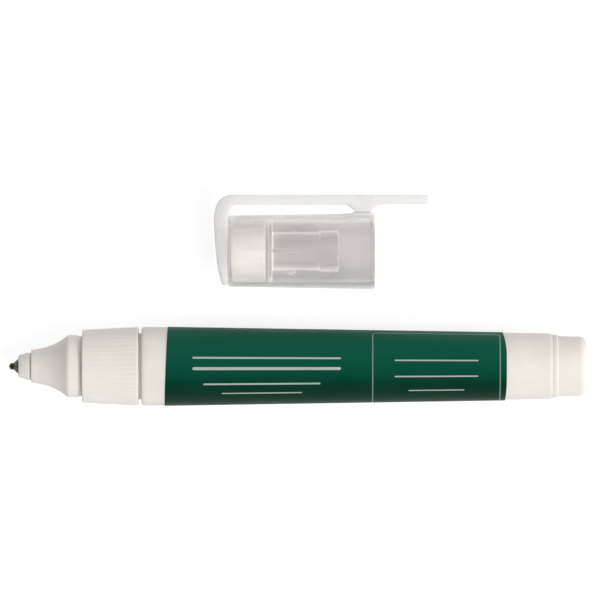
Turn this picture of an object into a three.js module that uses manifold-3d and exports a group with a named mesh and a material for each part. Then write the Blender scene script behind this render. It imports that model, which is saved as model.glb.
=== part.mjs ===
// A squeeze correction pen with its cap taken off, lying beside it on a table.
// Millimetres, +Z up, Z = 0 is the table. The pen lies along X, its metal tip towards -X,
// and the cap lies at +Y of it with its mouth towards +X and its clip towards +Y.
// The origin is under the middle of the pair's box.

import * as THREE from "three";
import { mergeVertices } from "three/addons/utils/BufferGeometryUtils.js";
import Module from "manifold-3d";

const wasm = await Module();
wasm.setup();

// Clearances
const slipGap = 0.1; // radial, between pieces that slide or turn in each other
const pressGap = 0.05; // radial, drawn between pieces that are pressed into each other
const seatGap = 0.2; // along the axis, drawn between faces that rest on each other
const threadGap = 0.2; // radial, between a thread's crest and the root that faces it

// Facets round a turned piece
const bodyFacets = 40;
const smallFacets = 24;
const needleFacets = 16;
const filletSteps = 2;

// Metal tip, valve needle and spring
const needleRadius = 0.3;
const needleStandOut = 0.35;
const needleStemRadius = 0.8;
const needleCollarRadius = 1.45;
const needleCollarLength = 0.8;
const needleTailRadius = 0.6;
const needleTailReach = 1; // how far the tail stands out behind its guide
const tipTubeRadius = 0.75;
const tipTubeLength = 0.8;
const tipFlareLength = 1;
const tipBoreClearance = 0.12;
const tipShankWall = 0.8;
const tipHeadStep = 0.3;
const tipHeadLength = 0.8;
const tipTubeTaper = 0.05; // each way from the tube's own radius, narrower at its end
const tipFlareBulge = 0.1; // how far the flare stands over a straight cone near its rear
const tipShankLength = 3.2;
const springWireRadius = 0.17;
const springTurns = 9;
const springCoilClearance = 0.4; // between the needle's tail and the inside of the coils

// Holder of the metal tip
const holderFrontRadius = 2.5;
const holderFlangeStep = 0.35; // how far the rear of its cone stands over its shank
const holderLength = 2.4;
const holderGroove = 0.6;
const holderShankWall = 0.5;
const holderShankLength = 14.2;

// Nozzle
const coneWall = 0.88; // at its front face
const coneLength = 8.3;
const coneHandle = 5; // of the curve that draws the cone and its flare
const flareHandle = 1.25;
const coneSlope = THREE.MathUtils.degToRad(5);
const flareSlope = THREE.MathUtils.degToRad(35);
const flareDrop = 0.17; // from the snap band to the end of the flare
const snapShoulder = 0.9;
const snapBandLength = 2.1;
const snapGrooveLength = 0.9;
const snapDepth = 0.29;
const snapBandTaper = 0.1;
const barbDepth = 0.35;
const barbLength = 1;
const socketDepth = 4.3; // how far the nozzle grips the holder's shank
const hollowTaper = 2.8;
const guideLength = 1.8;
const guideStep = 0.25;
const skirtLength = 5.5;
const skirtWall = 0.9;
const flowPorts = 4;
const flowPortRadius = 0.5;

// Ribbed collar, its thread and the barrel's neck
const neckBoreRadius = 5.5;
const neckWall = 1.2;
const sealThickness = 0.6;
const threadPitch = 2.5;
const threadDepth = 0.55;
const threadRootWidth = 1.2;
const threadCrestWidth = 0.7;
const neckThreadTurns = 2.25;
const collarThreadTurns = 1.75;
const threadLead = 1.3; // from the neck's front face to the middle of its first ridge
const neckBaseLength = 1.9;
const neckBaseStep = 0.35;
const collarLength = 12.9;
const collarLip = 1.4;
const collarWall = 0.68;
const collarFlare = 0.66; // how much wider the collar is at its rear
const collarBand = 0.45; // smooth band behind the ribs
const ribCount = 48;
const ribDepth = 0.25;

// Barrel, label and tail plug
const shoulderGap = 0.7;
const shoulderWidth = 1.48;
const barrelLength = 94.5;
const barrelTaper = 1.5; // how much less the radius is at the rear
const barrelWall = 1.1;
const barrelEdge = 0.5;
const innerShoulderLength = 2.4;
const labelMargin = 5.7;
const labelLength = 78.1;
const labelThickness = 0.1;
const labelGap = 0.02;
const tailLip = 0.6;
const tailLength = 7.8;
const tailBandLength = 1;
const tailBandStep = 0.12;
const tailTaper = 0.12;
const tailEdge = 1.15;
const tailWall = 1.2;
const tailShankLength = 9;

// Mixing ball
const ballRadius = 3;
const ballRest = 13.5; // behind the barrel's front shoulder

// Cap
const capLength = 33.9;
const capBoreClearance = 0.11;
const capWall = 0.92;
const capFlare = 0.59; // how much wider the cap is at its mouth
const capEndWall = 0.5;
const capEdge = 1;
const beadDepth = 0.2;
const mouthRelief = 0.1; // how much wider the bore is at the mouth, and by half as much behind the bead
const beadLength = 0.5;
const beadInset = 0.3;
const landLength = 6.6;
const landWidth = 5;
const landRise = 0.15;
const landInset = 0.6; // from the land to the mouth
const capOffset = 26.5; // between the pen's axis and the cap's
const capPosition = 50.25; // of the cap's closed end behind the needle's end

// Pieces inside the cap
const plugLength = 8.2;
const plugWall = 1.3;
const plugEdge = 1.1;
const sleeveDiscGap = 0.65;
const sleeveDisc = 0.9;
const sleeveSetBack = 8.4; // from the sleeve's end to the cap's mouth
const sleeveBoreClearance = 0.3;
const socketClearance = 0.12;
const sleeveWall = 0.87;
const socketWall = 0.5;
const socketRimLength = 0.9; // of the thick end ring in front of the socket
const socketRimSlope = 0.3; // along the axis
const finCount = 4;
const finLength = 5.5;
const finHeight = 1.5;
const finThickness = 0.8;
const finTopLength = 3.85; // where the fin's slope starts
const finToe = 0.5; // its height at its far end

// Clip
const clipReach = 46.2; // from the cap's closed end to the clip's free end
const clipHeight = 12.9; // of the arm's outer face over the cap's axis
const clipArm = 2.2;
const clipWidth = 6.4;
const clipLeg = 2.85; // the leg's thickness where the corner starts
const clipBend = 2.55; // and at the point that its outer side bends towards
const clipFoot = 0.95; // and at its foot
const clipCornerHeight = 5.9;
const clipCornerReach = 4.25;
const clipInnerCorner = 1.3;
const clipInnerSetBack = 0.8; // from the cap's closed end to the inner corner's own face
const clipArmTaper = 0.15; // how much thinner the arm is at its free end
const clipFootInset = 0.45; // from the foot's end to the cap's lower edge
const padTopLength = 7.4;
const padLength = 3.4;
const padSetBack = 0.4; // from the pad's foot to the land's front edge

// Stations along the pen, from the end of the needle
const tipFront = needleStandOut;
const flareStart = tipFront + tipTubeLength;
const holderFront = flareStart + tipFlareLength;
const holderRear = holderFront + holderLength;
const nozzleFront = holderRear + holderGroove;
const coneEnd = nozzleFront + coneLength;
const snapBandFront = coneEnd + snapShoulder / 2;
const snapBandRear = snapBandFront + snapBandLength;
const collarFront = snapBandRear + snapGrooveLength;
const lipRear = collarFront + collarLip;
const barbFront = lipRear + seatGap;
const barbRear = barbFront + barbLength;
const skirtRear = barbRear + skirtLength;
const neckFront = barbRear + sealThickness + seatGap / 2;
const collarRear = collarFront + collarLength;
const shoulder = collarRear + shoulderGap;
const neckBaseFront = shoulder - neckBaseLength;
const barrelRear = shoulder + barrelLength;
const tailFace = barrelRear + tailLength;
const penLength = tailFace;
const labelFront = shoulder + labelMargin;
const tailShankFront = barrelRear - tailShankLength;
const holderShankRear = nozzleFront + holderShankLength;
const tipHeadFront = holderFront + tipShankLength;
const tipHeadRear = tipHeadFront + tipHeadLength;
const guideRear = holderShankRear;
const guideFront = guideRear - guideLength;
const needleCollarFront = tipHeadRear + seatGap + slipGap;
const needleCollarRear = needleCollarFront + needleCollarLength;
const needleTail = guideRear + needleTailReach;

// Radii that follow from each other
const tipBoreRadius = needleRadius + tipBoreClearance;
const tipChamberRadius = needleStemRadius + tipBoreClearance;
const tipFlareRadius = tipChamberRadius + tipShankWall;
const tipHeadRadius = tipFlareRadius + tipHeadStep;
const chamberRadius = tipHeadRadius + pressGap;
const guideRadius = chamberRadius + guideStep;
const holderShankRadius = guideRadius + pressGap + holderShankWall;
const holderRearRadius = holderShankRadius + holderFlangeStep;
const coneFrontRadius = holderShankRadius + pressGap + coneWall;
const neckRadius = neckBoreRadius + neckWall;
const neckCrest = neckRadius + threadDepth;
const neckBaseRadius = neckCrest + neckBaseStep;
const collarCrest = neckRadius + threadGap;
const collarBore = neckCrest + threadGap;
const collarRearBore = neckBaseRadius + threadGap;
const collarFrontRadius = collarBore + collarWall + ribDepth;
const collarRearRadius = collarFrontRadius + collarFlare;
const barbRadius = collarBore - slipGap;
const lipBore = barbRadius - barbDepth;
const shankRadius = lipBore - slipGap;
const snapRadius = shankRadius + snapDepth;
const skirtRadius = neckBoreRadius - slipGap;
const barrelFrontRadius = neckBaseRadius + shoulderWidth;
const capBore = snapRadius + capBoreClearance;
const capEndRadius = capBore + capWall;
const capMouthRadius = capEndRadius + capFlare;

const barrelRadiusAt = (s) => barrelFrontRadius - (barrelTaper * (s - shoulder)) / barrelLength;
const barrelBoreAt = (s) => barrelRadiusAt(s) - barrelWall;
const capRadiusAt = (c) => capEndRadius + (capFlare * c) / capLength;

const tailBandRadius = barrelBoreAt(barrelRear) + tailLip;
const tailRadius = tailBandRadius - tailBandStep;

// Where the pen and the cap lie
const labelReach = barrelRadiusAt(labelFront) + labelGap + labelThickness;
const penHeight = Math.max(barrelFrontRadius, labelReach);
const pairMiddle = (capOffset + clipHeight - penHeight) / 2;

const finish = (color, roughness, metalness) =>
  new THREE.MeshStandardMaterial({ color, roughness, metalness });
const plastic = (color, roughness = 0.45) => finish(color, roughness, 0);
const metal = (color, roughness = 0.3) => finish(color, roughness, 1);
const whitePlastic = plastic(0xf0eae4);
const coneWhite = plastic(0xe6e1da, 0.4);
const labelGreen = plastic(0x0a4a38, 0.5);
const tipMetal = metal(0x8b8d84, 0.25);
const steel = metal(0xb9bcbd, 0.3);
const sealPlastic = plastic(0xd9dcd6, 0.6);
const clearPlastic = new THREE.MeshStandardMaterial({
  color: 0xe4e4e4, roughness: 0.1, metalness: 0, transparent: true, opacity: 0.35,
});
const milkyPlastic = plastic(0xe9e7e4, 0.35);

// Replaces each corner that has a third value by a fillet of that size.
function filleted(points, closed) {
  const out = [];
  points.forEach(([s, r, size = 0], i) => {
    const last = points.length - 1;
    if (!size || (!closed && (i === 0 || i === last))) {
      out.push(new THREE.Vector2(s, r));
      return;
    }
    const corner = new THREE.Vector2(s, r);
    const before = new THREE.Vector2(...points[i === 0 ? last : i - 1].slice(0, 2));
    const after = new THREE.Vector2(...points[i === last ? 0 : i + 1].slice(0, 2));
    const reach = Math.min(size, corner.distanceTo(before) * 0.49, corner.distanceTo(after) * 0.49);
    const from = corner.clone().add(before.sub(corner).setLength(reach));
    const to = corner.clone().add(after.sub(corner).setLength(reach));
    out.push(...new THREE.QuadraticBezierCurve(from, corner, to).getPoints(filletSteps));
  });
  return out;
}

// A piece turned about X. The outline is a list of [station, radius, fillet], and it either starts
// and ends on the axis or closes on itself.
function turned(outline, facets = bodyFacets) {
  const onAxis = outline[0][1] === 0;
  const points = filleted(outline, !onAxis).map((p) => new THREE.Vector2(p.y, p.x));
  if (THREE.ShapeUtils.area(points) < 0) points.reverse();
  if (!onAxis) points.push(points[0].clone());
  return new THREE.LatheGeometry(points, facets).rotateZ(-Math.PI / 2);
}

// A closed skin through rings of points, each end closed by a fan.
function throughRings(rings) {
  const count = rings[0].length;
  const points = rings.flat();
  const faces = [];
  for (let i = 0; i + 1 < rings.length; i++) {
    for (let j = 0; j < count; j++) {
      const a = i * count + j;
      const b = i * count + ((j + 1) % count);
      faces.push(a, b, b + count, a, b + count, a + count);
    }
  }
  [rings[0], rings.at(-1)].forEach((ring, end) => {
    const middle = ring.reduce((sum, p) => sum.add(p), new THREE.Vector3()).divideScalar(count);
    const first = end === 0 ? 0 : (rings.length - 1) * count;
    for (let j = 0; j < count; j++) {
      const pair = [first + j, first + ((j + 1) % count)];
      if (end === 0) pair.reverse();
      faces.push(pair[0], pair[1], points.length);
    }
    points.push(middle);
  });
  const geometry = new THREE.BufferGeometry().setFromPoints(points);
  return geometry.setIndex(faces);
}

function toSolid(geometry) {
  const bare = geometry.clone();
  bare.deleteAttribute("normal");
  bare.deleteAttribute("uv");
  const merged = mergeVertices(bare, 1e-4);
  const index = merged.index.array;
  const triVerts = [];
  for (let i = 0; i < index.length; i += 3) {
    const [a, b, c] = index.slice(i, i + 3);
    if (a !== b && b !== c && c !== a) triVerts.push(a, b, c);
  }
  const vertProperties = merged.attributes.position.array;
  return new wasm.Manifold(
    new wasm.Mesh({ numProp: 3, vertProperties, triVerts: new Uint32Array(triVerts) }),
  );
}

function toGeometry(solid) {
  const mesh = solid.getMesh();
  const geometry = new THREE.BufferGeometry();
  geometry.setAttribute("position", new THREE.Float32BufferAttribute(mesh.vertProperties, 3));
  geometry.setIndex(Array.from(mesh.triVerts));
  geometry.computeVertexNormals();
  return geometry;
}

// The ridge of a right-hand thread about X, which runs out at both ends to a tenth of its height.
function threadRidge(start, turns, rootRadius, crestRadius) {
  const steps = Math.round(turns * bodyFacets);
  const runOutSteps = bodyFacets / 6;
  const runOutHeight = 0.1;
  const rings = [];
  for (let i = 0; i <= steps; i++) {
    const angle = (i / bodyFacets) * 2 * Math.PI;
    const station = start + (threadPitch * i) / bodyFacets;
    const share = THREE.MathUtils.clamp(Math.min(i, steps - i) / runOutSteps, runOutHeight, 1);
    const crest = THREE.MathUtils.lerp(rootRadius, crestRadius, share);
    const section = [
      [station - threadRootWidth / 2, rootRadius],
      [station - threadCrestWidth / 2, crest],
      [station + threadCrestWidth / 2, crest],
      [station + threadRootWidth / 2, rootRadius],
    ];
    if (crestRadius > rootRadius) section.reverse();
    rings.push(section.map(([s, r]) => new THREE.Vector3(s, r * Math.cos(angle), r * Math.sin(angle))));
  }
  return throughRings(rings);
}

function needle() {
  const seatStart = holderFront - tipFlareLength / 2;
  return turned([
    [0, 0],
    [0, needleRadius, 0.2],
    [seatStart, needleRadius],
    [seatStart + needleStemRadius - needleRadius, needleStemRadius],
    [needleCollarFront, needleStemRadius],
    [needleCollarFront, needleCollarRadius],
    [needleCollarRear, needleCollarRadius],
    [needleCollarRear, needleTailRadius],
    [needleTail, needleTailRadius, 0.3],
    [needleTail, 0],
  ], needleFacets);
}

function metalTip() {
  const seatStart = holderFront - tipFlareLength / 2 + slipGap / 2;
  const flareMiddle = (flareStart + holderFront) / 2;
  return turned([
    [tipFront, tipBoreRadius],
    [tipFront, tipTubeRadius - tipTubeTaper, 0.1],
    [flareStart, tipTubeRadius + tipTubeTaper],
    [flareMiddle, (tipTubeRadius + tipFlareRadius) / 2 + tipFlareBulge],
    [holderFront, tipFlareRadius],
    [tipHeadFront, tipFlareRadius],
    [tipHeadFront, tipHeadRadius],
    [tipHeadRear, tipHeadRadius],
    [tipHeadRear, tipChamberRadius],
    [seatStart + tipChamberRadius - tipBoreRadius, tipChamberRadius],
    [seatStart, tipBoreRadius],
  ], smallFacets);
}

// A cone in front and a long tube behind it, which holds the needle, its spring and their guide.
function tipHolder() {
  return turned([
    [holderFront + pressGap, tipFlareRadius + pressGap],
    [holderFront + pressGap, holderFrontRadius, 0.3],
    [holderRear, holderRearRadius, 0.15],
    [holderRear, holderShankRadius],
    [holderShankRear, holderShankRadius, 0.15],
    [holderShankRear, guideRadius + pressGap],
    [guideFront - pressGap, guideRadius + pressGap],
    [guideFront - pressGap, chamberRadius],
    [tipHeadFront - pressGap, chamberRadius],
    [tipHeadFront - pressGap, tipFlareRadius + pressGap],
  ], smallFacets);
}

// The cone's side, which leaves its front face at one slope and flares to another.
function nozzleCurve() {
  const start = new THREE.Vector2(nozzleFront, coneFrontRadius);
  const end = new THREE.Vector2(coneEnd, snapRadius - flareDrop);
  const along = (angle, reach) => new THREE.Vector2(Math.cos(angle), Math.sin(angle)).multiplyScalar(reach);
  const leave = start.clone().add(along(coneSlope, coneHandle));
  const arrive = end.clone().sub(along(flareSlope, flareHandle));
  return new THREE.CubicBezierCurve(start, leave, arrive, end).getPoints(8);
}

function nozzleRadiusAt(station) {
  const points = nozzleCurve();
  const i = points.findIndex((p) => p.x > station);
  const [a, b] = [points[i - 1], points[i]];
  return THREE.MathUtils.mapLinear(station, a.x, b.x, a.y, b.y);
}

function nozzle() {
  const hollow = skirtRadius - skirtWall;
  const grip = nozzleFront + socketDepth;
  return turned([
    [nozzleFront, holderShankRadius + pressGap],
    ...nozzleCurve().map((p) => [p.x, p.y]),
    [snapBandFront, snapRadius, snapShoulder / 3],
    [snapBandRear, snapRadius - snapBandTaper, 0.15],
    [snapBandRear, shankRadius],
    [barbFront, shankRadius],
    [barbFront, barbRadius],
    [barbRear, barbRadius],
    [barbRear, skirtRadius],
    [skirtRear, skirtRadius],
    [skirtRear, hollow],
    [grip + hollowTaper, hollow],
    [grip, holderShankRadius + pressGap],
  ]);
}

function valveGuide() {
  const ring = toSolid(turned([
    [guideFront, needleTailRadius + slipGap],
    [guideFront, guideRadius],
    [guideRear, guideRadius],
    [guideRear, needleTailRadius + slipGap],
  ], smallFacets));
  const circle = (needleTailRadius + slipGap + guideRadius) / 2;
  let solid = ring;
  for (let i = 0; i < flowPorts; i++) {
    const angle = ((i + 0.5) / flowPorts) * 2 * Math.PI;
    const port = new THREE.CylinderGeometry(flowPortRadius, flowPortRadius, guideLength * 2, 12)
      .rotateZ(Math.PI / 2)
      .translate((guideFront + guideRear) / 2, circle * Math.cos(angle), circle * Math.sin(angle));
    solid = solid.subtract(toSolid(port));
  }
  return toGeometry(solid);
}

// One unbroken wire, wound between the needle's collar and its guide.
function valveSpring() {
  const coilRadius = needleTailRadius + springCoilClearance + springWireRadius;
  const front = needleCollarRear + springWireRadius + slipGap;
  const rear = guideFront - springWireRadius - slipGap;
  const pitch = (rear - front) / springTurns;
  const stepsPerTurn = 10;
  const sides = 5;
  const rings = [];
  for (let i = 0; i <= springTurns * stepsPerTurn; i++) {
    const angle = (i / stepsPerTurn) * 2 * Math.PI;
    const ring = [];
    for (let j = 0; j < sides; j++) {
      const turn = (j / sides) * 2 * Math.PI;
      const r = coilRadius + springWireRadius * Math.cos(turn);
      const s = front + (pitch * i) / stepsPerTurn - springWireRadius * Math.sin(turn);
      ring.push(new THREE.Vector3(s, r * Math.cos(angle), r * Math.sin(angle)));
    }
    rings.push(ring);
  }
  console.log(`valve spring: least gap between turns ${(pitch - 2 * springWireRadius).toFixed(2)} mm`);
  return throughRings(rings);
}

function neckSeal() {
  return turned([
    [barbRear + pressGap, neckBoreRadius],
    [barbRear + pressGap, neckRadius - slipGap],
    [barbRear + pressGap + sealThickness, neckRadius - slipGap],
    [barbRear + pressGap + sealThickness, neckBoreRadius],
  ], smallFacets);
}

// Lengthwise ribs on a cone that widens towards the rear, with a smooth band behind them.
function ribbedCone() {
  const radiusAt = (s) => collarFrontRadius + (collarFlare * (s - collarFront)) / collarLength;
  const ring = (station, radius, depth) => {
    const points = [];
    for (let i = 0; i < ribCount; i++) {
      [radius - depth, radius].forEach((r, half) => {
        const angle = ((i + half / 2) / ribCount) * 2 * Math.PI;
        points.push(new THREE.Vector3(station, r * Math.cos(angle), r * Math.sin(angle)));
      });
    }
    return points;
  };
  const bandFront = collarRear - collarBand;
  return throughRings([
    ring(collarFront, collarFrontRadius - ribDepth, 0),
    ring(collarFront + 0.2, radiusAt(collarFront), ribDepth),
    ring(bandFront - 0.1, radiusAt(bandFront), ribDepth),
    ring(bandFront, radiusAt(bandFront), 0),
    ring(collarRear, collarRearRadius - 0.15, 0),
  ]);
}

function collar() {
  const beyond = 1;
  const bore = turned([
    [collarFront - beyond, 0],
    [collarFront - beyond, lipBore],
    [lipRear, lipBore],
    [lipRear, collarBore],
    [neckBaseFront - seatGap, collarBore],
    [neckBaseFront - seatGap, collarRearBore],
    [collarRear + beyond, collarRearBore],
    [collarRear + beyond, 0],
  ]);
  const sink = 0.15;
  const start = neckFront + threadLead + threadPitch / 2;
  const ridge = threadRidge(start, collarThreadTurns, collarBore + sink, collarCrest);
  return toGeometry(toSolid(ribbedCone()).subtract(toSolid(bore)).add(toSolid(ridge)));
}

function barrel() {
  const edge = barrelEdge;
  const body = turned([
    [neckFront, neckBoreRadius],
    [neckFront, neckRadius],
    [neckBaseFront, neckRadius],
    [neckBaseFront, neckBaseRadius],
    [shoulder, neckBaseRadius],
    [shoulder, barrelFrontRadius, edge],
    [barrelRear, barrelRadiusAt(barrelRear), edge],
    [barrelRear, barrelBoreAt(barrelRear)],
    [shoulder + innerShoulderLength, barrelBoreAt(shoulder + innerShoulderLength)],
    [shoulder, neckBoreRadius],
  ]);
  const sink = 0.15;
  const ridge = threadRidge(neckFront + threadLead, neckThreadTurns, neckRadius - sink, neckCrest);
  return toGeometry(toSolid(body).add(toSolid(ridge)));
}

function label() {
  const rear = labelFront + labelLength;
  const inner = (s) => barrelRadiusAt(s) + labelGap;
  return turned([
    [labelFront, inner(labelFront)],
    [labelFront, inner(labelFront) + labelThickness],
    [rear, inner(rear) + labelThickness],
    [rear, inner(rear)],
  ]);
}

function tailPlug() {
  const bandFront = barrelRear + pressGap;
  const bandRear = bandFront + tailBandLength;
  const shankAt = (s) => barrelBoreAt(s) - pressGap;
  return turned([
    [tailFace, 0],
    [tailFace, tailRadius - tailTaper, tailEdge],
    [bandRear, tailRadius],
    [bandRear - tailBandStep, tailBandRadius],
    [bandFront, tailBandRadius],
    [bandFront, shankAt(barrelRear)],
    [tailShankFront, shankAt(tailShankFront)],
    [tailShankFront, shankAt(tailShankFront) - tailWall],
    [tailFace - tailWall, tailRadius - tailTaper - tailWall],
    [tailFace - tailWall, 0],
  ]);
}

function mixingBall() {
  const station = shoulder + ballRest;
  const height = -barrelBoreAt(station) + ballRadius + slipGap;
  return new THREE.SphereGeometry(ballRadius, smallFacets, 12).translate(station, 0, height);
}

function capShell() {
  const beadEnd = capLength - beadInset;
  const beadTop = snapRadius - pressGap;
  const outline = turned([
    [0, 0],
    [0, capRadiusAt(0), capEdge],
    [capLength, capMouthRadius, 0.25],
    [capLength, capBore + mouthRelief],
    [beadEnd, beadTop],
    [beadEnd - beadLength, beadTop],
    [beadEnd - beadLength - beadDepth, capBore + mouthRelief / 2],
    [capEndWall, capBore, capEdge],
    [capEndWall, 0],
  ]);
  const landTop = capMouthRadius + landRise;
  const landMiddle = capLength - landInset - landLength / 2;
  const landHeight = landTop - (capBore + capWall / 2);
  const land = new THREE.BoxGeometry(landLength, landHeight, landWidth)
    .translate(landMiddle, landTop - landHeight / 2, 0);
  return toGeometry(toSolid(outline).add(toSolid(land)));
}

function capEndPlug() {
  const radius = capBore - slipGap;
  const front = capEndWall + slipGap;
  const rear = front + plugLength;
  return turned([
    [front, 0],
    [front, radius, plugEdge],
    [rear, radius, plugEdge],
    [rear, radius - plugWall],
    [front + plugWall, radius - plugWall],
    [front + plugWall, 0],
  ], smallFacets);
}

// Seats on the nozzle's cone when the cap is pushed on as far as the collar's front face.
function capInnerSleeve() {
  const penStation = (c) => c - capLength + collarFront;
  const discFront = capEndWall + slipGap + plugLength + sleeveDiscGap;
  const discRear = discFront + sleeveDisc;
  const sleeveEnd = capLength - sleeveSetBack;
  const socketFront = nozzleFront - collarFront + capLength - seatGap;
  const socketDeep = coneFrontRadius + socketClearance;
  const socketMouth = nozzleRadiusAt(penStation(sleeveEnd)) + socketClearance;
  const bore = holderRearRadius + sleeveBoreClearance;
  const outer = bore + sleeveWall;
  const ringRadius = socketMouth + socketWall;
  const ringFront = socketFront - socketRimLength;
  const body = toSolid(turned([
    [discFront, 0],
    [discFront, capBore - slipGap],
    [discRear, capBore - slipGap],
    [discRear, outer],
    [ringFront, outer],
    [ringFront + socketRimSlope, ringRadius],
    [sleeveEnd, ringRadius, 0.25],
    [sleeveEnd, socketMouth],
    [socketFront, socketDeep],
    [socketFront, bore],
    [discRear, bore],
    [discRear, 0],
  ]));
  const root = outer - sleeveWall / 2;
  const wedge = new THREE.Shape()
    .moveTo(discRear - sleeveDisc / 2, root)
    .lineTo(discRear + finLength, root)
    .lineTo(discRear + finLength, outer + finToe)
    .lineTo(discRear + finTopLength, outer + finHeight)
    .lineTo(discRear - sleeveDisc / 2, outer + finHeight);
  let solid = body;
  for (let i = 0; i < finCount; i++) {
    const fin = new THREE.ExtrudeGeometry(wedge, { depth: finThickness, bevelEnabled: false })
      .translate(0, 0, -finThickness / 2)
      .rotateX((i / finCount) * 2 * Math.PI);
    solid = solid.add(toSolid(fin));
  }
  return toGeometry(solid);
}

// Side view of the clip: a leg up the cap's closed end, an arm along the cap and a pad that rests
// on the land.
function clipOutline() {
  const inner = clipHeight - clipArm;
  const legFace = -seatGap;
  const footHeight = -(capEndRadius - clipFootInset);
  const padFoot = capMouthRadius + landRise + seatGap;
  const padEnd = capLength - landInset - padSetBack;
  const padTaper = (padTopLength - padLength) / 2;
  const overCorner = capEndRadius + seatGap;
  const cornerFoot = new THREE.Vector2(legFace - clipLeg, clipHeight - clipCornerHeight);
  const legSide = new THREE.QuadraticBezierCurve(
    new THREE.Vector2(legFace - clipFoot, footHeight),
    new THREE.Vector2(legFace - clipBend, footHeight / 2),
    cornerFoot,
  );
  const outerCorner = new THREE.QuadraticBezierCurve(
    cornerFoot,
    new THREE.Vector2(cornerFoot.x, clipHeight),
    new THREE.Vector2(cornerFoot.x + clipCornerReach, clipHeight),
  );
  return [
    [legFace, footHeight],
    ...legSide.getPoints(6).map((p) => [p.x, p.y]),
    ...outerCorner.getPoints(6).slice(1).map((p) => [p.x, p.y]),
    [clipReach, clipHeight, 0.4],
    [clipReach, inner + clipArmTaper, 0.4],
    [padEnd + padTaper, inner],
    [padEnd, padFoot, 0.2],
    [padEnd - padLength, padFoot, 0.2],
    [padEnd - padLength - padTaper, inner],
    [clipInnerSetBack, inner, clipInnerCorner],
    [clipInnerSetBack, overCorner + seatGap, 0.3],
    [legFace, overCorner - capEdge / 2, 0.3],
  ];
}

function capClip() {
  const shape = new THREE.Shape(filleted(clipOutline(), true));
  return new THREE.ExtrudeGeometry(shape, { depth: clipWidth, bevelEnabled: false })
    .translate(0, 0, -clipWidth / 2);
}

function place(group, name, geometry, material) {
  const mesh = new THREE.Mesh(geometry, material);
  mesh.name = name;
  group.add(mesh);
}

const pen = new THREE.Group();
pen.position.set(-penLength / 2, -pairMiddle, penHeight);
place(pen, "valve_needle", needle(), steel);
place(pen, "metal_tip", metalTip(), tipMetal);
place(pen, "tip_holder", tipHolder(), coneWhite);
place(pen, "nozzle", nozzle(), coneWhite);
place(pen, "valve_spring", valveSpring(), steel);
place(pen, "valve_guide", valveGuide(), sealPlastic);
place(pen, "neck_seal", neckSeal(), sealPlastic);
place(pen, "ribbed_collar", collar(), whitePlastic);
place(pen, "barrel", barrel(), whitePlastic);
place(pen, "label", label(), labelGreen);
place(pen, "mixing_ball", mixingBall(), steel);
place(pen, "tail_plug", tailPlug(), whitePlastic);

const cap = new THREE.Group();
cap.position.set(capPosition - penLength / 2, capOffset - pairMiddle, capMouthRadius);
place(cap, "cap_shell", capShell(), clearPlastic);
place(cap, "cap_end_plug", capEndPlug(), milkyPlastic);
place(cap, "cap_inner_sleeve", capInnerSleeve(), milkyPlastic);
place(cap, "cap_clip", capClip(), milkyPlastic);

const correctionPen = new THREE.Group();
correctionPen.add(pen, cap);

export default correctionPen;
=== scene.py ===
# %% [markdown]
# # A correction pen with its cap taken off
#
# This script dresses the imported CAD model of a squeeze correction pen. The pen lies on a pale table
# with its metal tip towards -X, and its clear cap lies beside it at +Y. The CAD model holds every
# size and every joint, but its round pieces have few facets and one plain colour each. Here each of
# them gets a finely turned mesh of the same size and a finish made of shader nodes.
#
# The frame comes first: every piece below is placed by it, and nothing is fitted afterwards.

# %% Load the frame
import math

import bmesh
import bpy
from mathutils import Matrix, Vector
from mathutils.geometry import interpolate_bezier


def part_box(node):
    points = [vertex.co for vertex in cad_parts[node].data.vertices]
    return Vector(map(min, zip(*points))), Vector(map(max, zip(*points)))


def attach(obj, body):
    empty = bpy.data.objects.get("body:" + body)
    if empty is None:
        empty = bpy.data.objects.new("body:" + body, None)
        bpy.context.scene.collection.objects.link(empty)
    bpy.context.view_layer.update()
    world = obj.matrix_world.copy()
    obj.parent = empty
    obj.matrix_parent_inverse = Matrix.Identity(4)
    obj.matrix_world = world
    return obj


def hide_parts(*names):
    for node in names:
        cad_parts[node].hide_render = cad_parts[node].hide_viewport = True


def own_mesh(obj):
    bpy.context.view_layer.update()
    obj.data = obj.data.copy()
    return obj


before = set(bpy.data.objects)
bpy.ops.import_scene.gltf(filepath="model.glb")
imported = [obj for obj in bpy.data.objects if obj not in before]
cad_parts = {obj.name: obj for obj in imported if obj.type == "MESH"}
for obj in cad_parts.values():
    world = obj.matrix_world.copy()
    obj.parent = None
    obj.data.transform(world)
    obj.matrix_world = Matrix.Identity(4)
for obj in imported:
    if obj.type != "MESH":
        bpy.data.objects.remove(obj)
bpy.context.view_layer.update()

# %% [markdown]
# ## Measuring the frame
#
# All round pieces of the pen share one axis along X, and those of the cap share another. A piece is
# easiest to read when its stations are counted in millimetres from one end of its own axis, so two
# origins are set here: the end of the needle for the pen, and the closed end for the cap.

# %% Axes, stations and radii
mm = 0.001
full_turn = 2 * math.pi


def axis_origin(node):
    """The point on a turned node's axis at its -X end."""
    low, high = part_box(node)
    return Vector((low.x, (low.y + high.y) / 2, (low.z + high.z) / 2))


def ends(node, origin):
    """The stations of a node's two ends, in millimetres from origin."""
    low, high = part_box(node)
    return (low.x - origin.x) / mm, (high.x - origin.x) / mm


def widest(node):
    """A turned node's greatest radius, in millimetres."""
    low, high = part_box(node)
    return (high.y - low.y) / 2 / mm


pen = axis_origin("valve_needle")
cap = axis_origin("cap_end_plug")
cap.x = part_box("cap_shell")[0].x
print("pen axis", tuple(pen), "cap axis", tuple(cap))

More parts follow.
